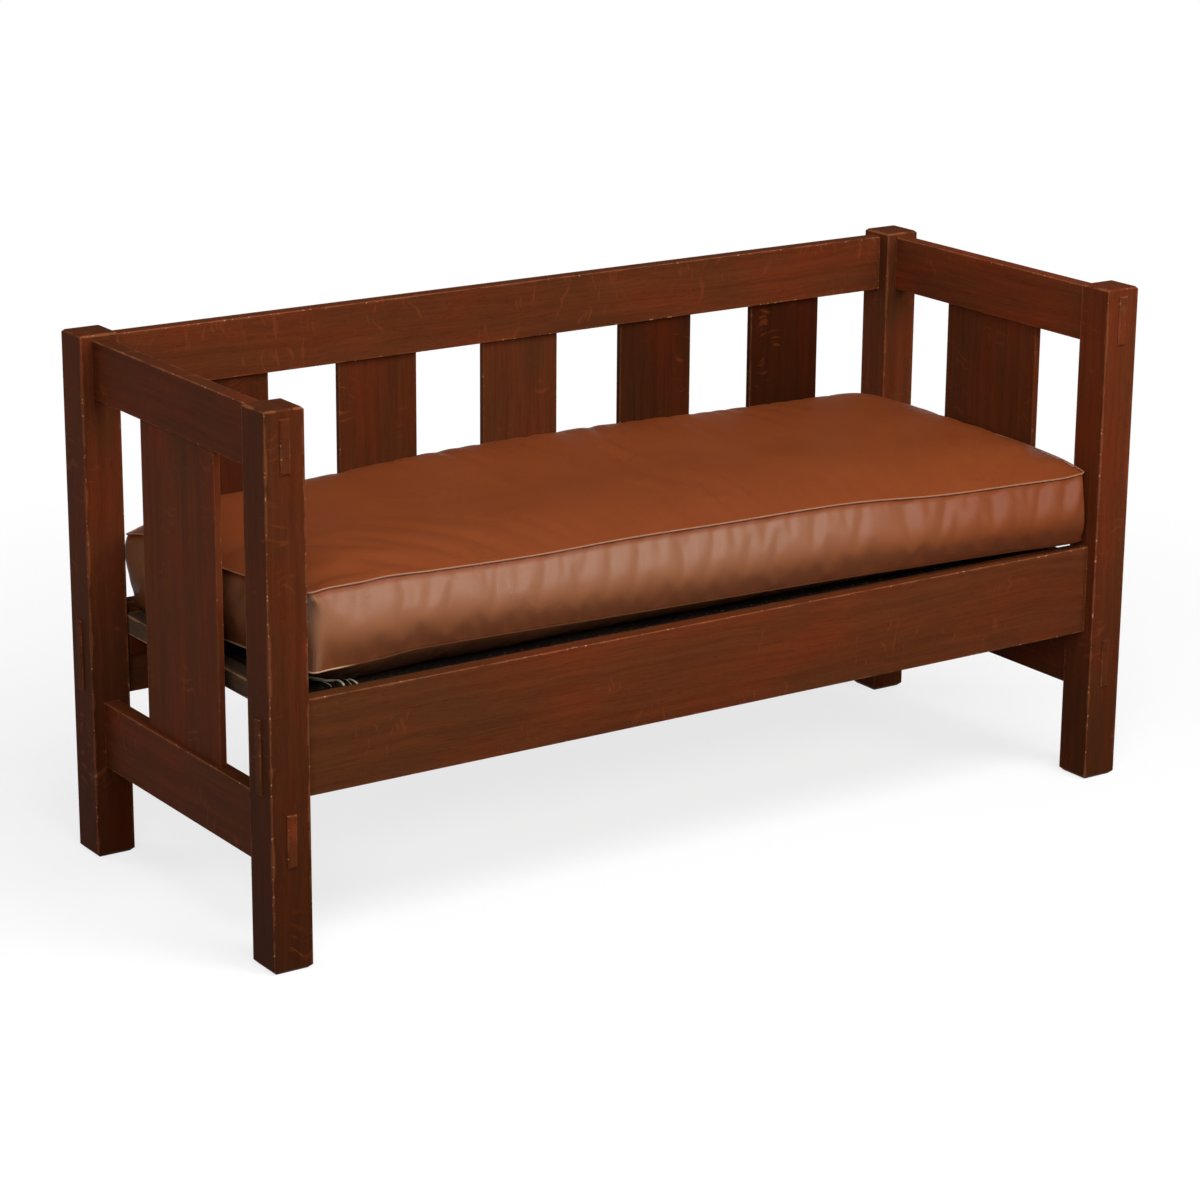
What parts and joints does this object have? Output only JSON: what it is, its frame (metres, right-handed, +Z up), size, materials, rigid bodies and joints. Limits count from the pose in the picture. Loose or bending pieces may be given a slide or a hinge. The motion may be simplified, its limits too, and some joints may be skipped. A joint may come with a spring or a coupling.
{
  "type": "mission settle",
  "caption": "Slatted oak settle with even arms, through-tenoned posts, a drop-in webbed seat frame and a loose leather box cushion.",
  "frame": {"origin": "on the floor under the middle of the settle", "axes": "+X along the settle towards its right-hand end seen from the front, +Y towards the back, +Z up"},
  "size_m": [1.428, 0.563, 0.737],
  "materials": {
    "fumed_oak": "satin",
    "secondary_wood": "matte",
    "jute_webbing": "matte",
    "black_cloth": "matte",
    "brown_leather": "satin",
    "cushion_foam": "matte",
    "tack_steel": "satin",
    "screw_steel": "satin"
  },
  "bodies": {
    "settle": {"back_seat_rail": "fumed_oak", "back_slat_1": "fumed_oak", "back_slat_2": "fumed_oak", "back_slat_3": "fumed_oak", "back_slat_4": "fumed_oak", "back_slat_5": "fumed_oak", "back_top_rail": "fumed_oak", "front_seat_rail": "fumed_oak", "ledger_back": "secondary_wood", "ledger_front": "secondary_wood", "ledger_screws": "screw_steel", "post_back_left": "fumed_oak", "post_back_right": "fumed_oak", "post_front_left": "fumed_oak", "post_front_right": "fumed_oak", "side_low_rail_left": "fumed_oak", "side_low_rail_right": "fumed_oak", "side_slat_left": "fumed_oak", "side_slat_right": "fumed_oak", "side_top_rail_left": "fumed_oak", "side_top_rail_right": "fumed_oak"},
    "seat_frame": {"seat_cloth": "black_cloth", "seat_frame_back": "secondary_wood", "seat_frame_brace": "secondary_wood", "seat_frame_front": "secondary_wood", "seat_frame_left": "secondary_wood", "seat_frame_right": "secondary_wood", "seat_tacks": "tack_steel", "webbing_cross_01": "jute_webbing", "webbing_cross_02": "jute_webbing", "webbing_cross_03": "jute_webbing", "webbing_cross_04": "jute_webbing", "webbing_cross_05": "jute_webbing", "webbing_cross_06": "jute_webbing", "webbing_cross_07": "jute_webbing", "webbing_cross_08": "jute_webbing", "webbing_cross_09": "jute_webbing", "webbing_cross_10": "jute_webbing", "webbing_long_1": "jute_webbing", "webbing_long_2": "jute_webbing", "webbing_long_3": "jute_webbing"},
    "cushion": {"cushion_core": "cushion_foam", "cushion_cover": "brown_leather"}
  },
  "joints": [
    {"name": "seat_frame_lift", "type": "slide", "parent": "settle", "child": "seat_frame", "axis": [0, 0, 1], "range_m": [0, 0.45]},
    {"name": "cushion_lift", "type": "slide", "parent": "seat_frame", "child": "cushion", "axis": [0, 0, 1], "range_m": [0, 0.45]}
  ]
}
